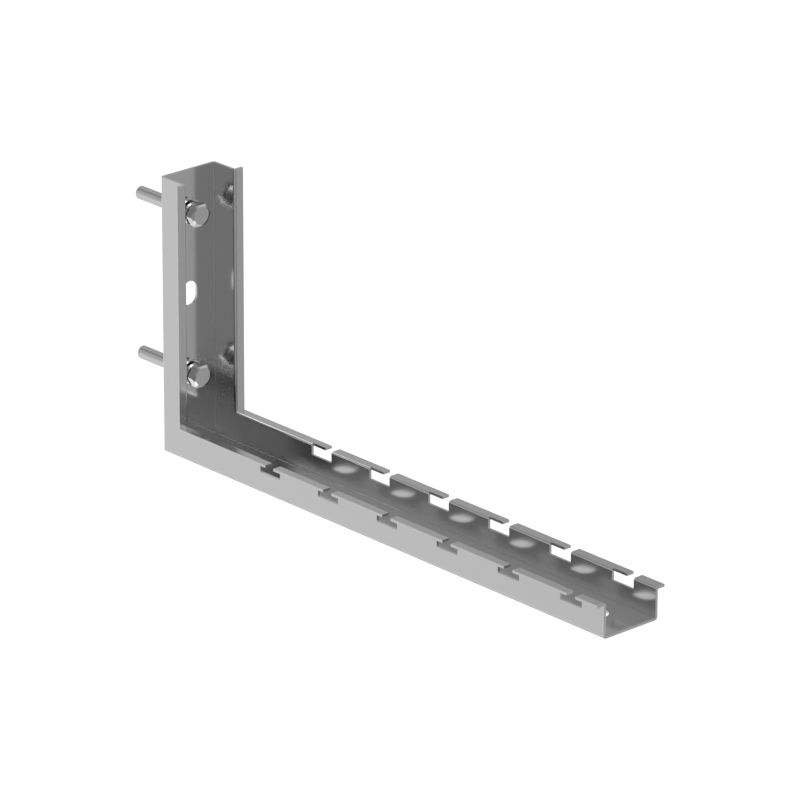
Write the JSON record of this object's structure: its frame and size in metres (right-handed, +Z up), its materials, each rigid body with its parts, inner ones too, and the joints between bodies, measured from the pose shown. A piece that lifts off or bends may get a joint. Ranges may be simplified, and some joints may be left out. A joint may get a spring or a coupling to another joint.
{
  "type": "wall bracket",
  "caption": "L-shaped wall bracket of folded sheet steel, a hat section with outward lips, open wire slots along the arm and hexagon head wall bolts in the upright.",
  "frame": {"origin": "on the wall plane, at the underside of the arm, in the middle of the bracket's width", "axes": "+X out from the wall along the arm, +Y towards the lower lip side, +Z up the wall"},
  "size_m": [0.4143, 0.0514, 0.1708],
  "materials": {
    "sheet": "satin zinc-coated sheet",
    "bolt": "smooth zinc-plated steel",
    "washer": "smooth zinc-plated steel"
  },
  "bodies": {
    "root": {"bracket": "sheet", "bolt_upper": "bolt", "bolt_lower": "bolt", "spring_washer_upper": "washer", "spring_washer_lower": "washer", "washer_upper": "washer", "washer_lower": "washer"}
  },
  "joints": []
}
